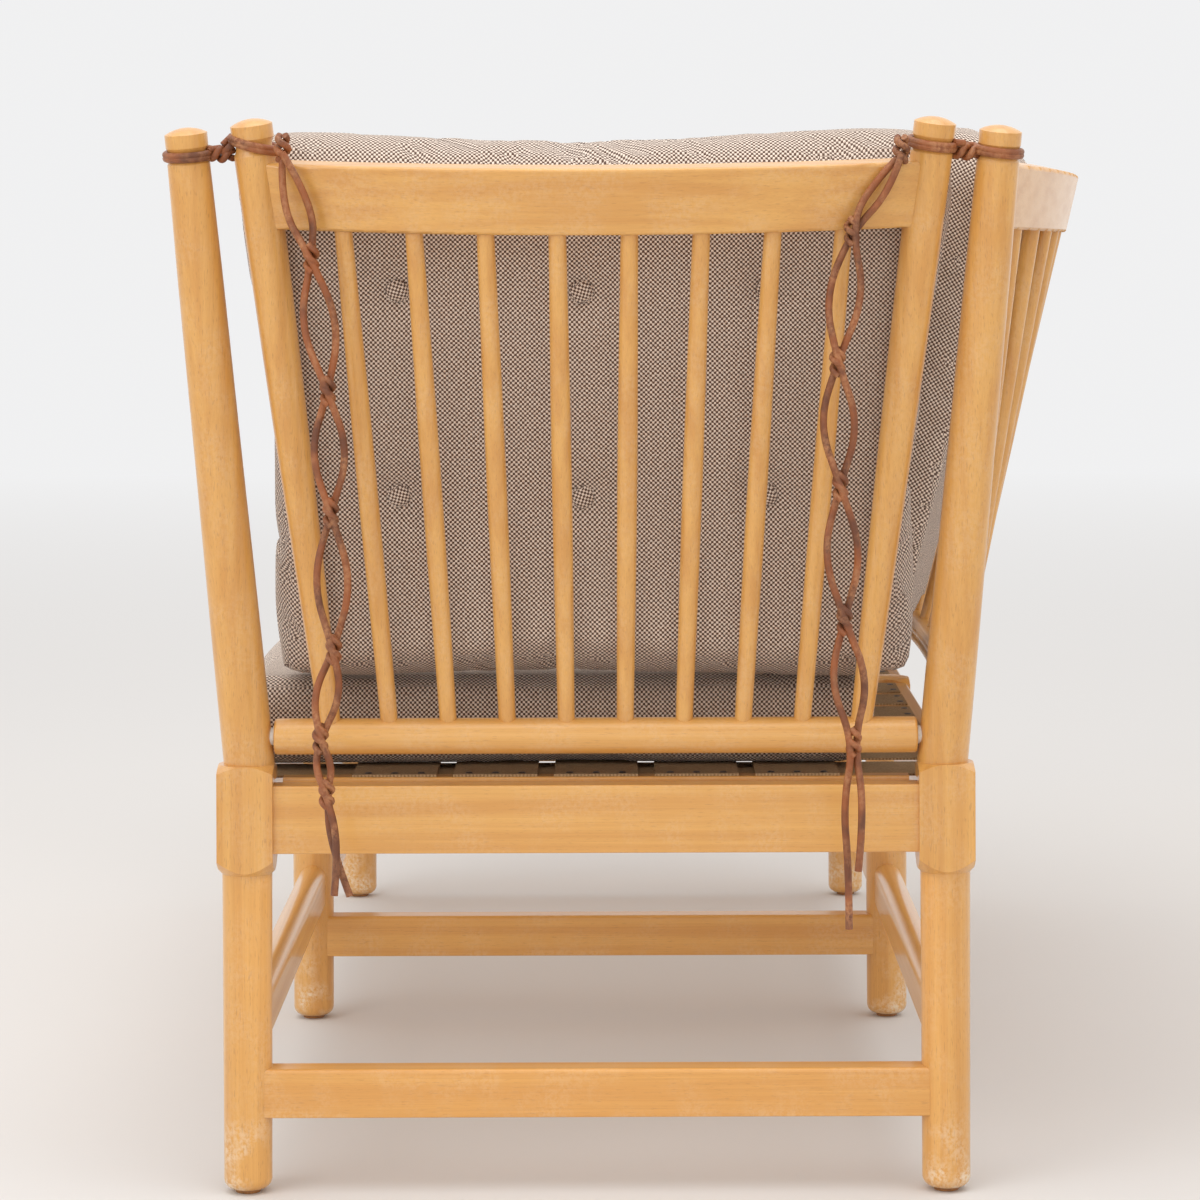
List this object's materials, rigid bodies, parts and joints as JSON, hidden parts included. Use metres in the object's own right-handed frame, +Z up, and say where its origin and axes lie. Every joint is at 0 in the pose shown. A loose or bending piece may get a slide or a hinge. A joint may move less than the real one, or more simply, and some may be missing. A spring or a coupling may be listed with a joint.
{
  "type": "drop-arm spindle settee",
  "caption": "Spindle-back settee in turned beech with loose woven cushions and one hinged drop arm held up by knotted leather laces.",
  "frame": {"origin": "centre of the footprint box, on the floor", "axes": "+Z up; X along the seat with the drop arm at +X; the open front faces -Y"},
  "size_m": [1.5972, 0.8216, 0.9017],
  "materials": {
    "turned_wood": "lacquered",
    "wood": "lacquered",
    "seat_fabric": "two-tone basket weave",
    "lace_leather": "oiled, worn",
    "jute_webbing": "coarse plain weave",
    "glide_plastic": "matte",
    "bush_plastic": "matte",
    "pin_steel": "brushed",
    "tack_steel": "blued"
  },
  "bodies": {
    "frame": {"back_bottom_rail": "wood", "back_crest_rail": "wood", "back_cushion_drop": "seat_fabric", "back_cushion_fixed": "seat_fabric", "back_rail_drop_bay": "wood", "back_rail_fixed_bay": "wood", "back_spindles": "wood", "batten_drop": "wood", "batten_fixed": "wood", "corner_post_drop_back": "turned_wood", "corner_post_drop_front": "turned_wood", "corner_post_fixed_back": "turned_wood", "corner_post_fixed_front": "turned_wood", "cross_stretcher_drop": "wood", "cross_stretcher_fixed": "wood", "cross_stretcher_middle": "wood", "cushion_buttons": "seat_fabric", "end_cushion": "seat_fabric", "end_rail_drop": "wood", "end_rail_fixed": "wood", "fixed_end_bottom_rail": "wood", "fixed_end_crest_rail": "wood", "fixed_end_spindles": "wood", "foot_glides": "glide_plastic", "front_rail_drop_bay": "wood", "front_rail_fixed_bay": "wood", "lace_loop_back": "lace_leather", "lace_loop_front": "lace_leather", "middle_cross_rail": "wood", "middle_leg_back": "turned_wood", "middle_leg_front": "turned_wood", "pivot_bushes": "bush_plastic", "seat_mattress": "seat_fabric", "side_stretcher_back_drop": "wood", "side_stretcher_back_fixed": "wood", "side_stretcher_front_drop": "wood", "side_stretcher_front_fixed": "wood", "webbing_cross": "jute_webbing", "webbing_long": "jute_webbing", "webbing_tacks": "tack_steel"},
    "drop_arm": {"arm_cushion": "seat_fabric", "arm_cushion_buttons": "seat_fabric", "drop_arm_crest_rail": "wood", "drop_arm_pivot_rail": "wood", "drop_arm_post_back": "turned_wood", "drop_arm_post_front": "turned_wood", "drop_arm_spindles": "wood", "lace_back_a": "lace_leather", "lace_back_b": "lace_leather", "lace_front_a": "lace_leather", "lace_front_b": "lace_leather", "lace_ring_back": "lace_leather", "lace_ring_front": "lace_leather", "pivot_pins": "pin_steel"}
  },
  "joints": [
    {"name": "drop_arm_hinge", "type": "hinge", "parent": "frame", "child": "drop_arm", "pos_m": [0.67595, -0.0589, 0.378], "axis": [0, 1, 0], "range_deg": [0, 55]}
  ]
}
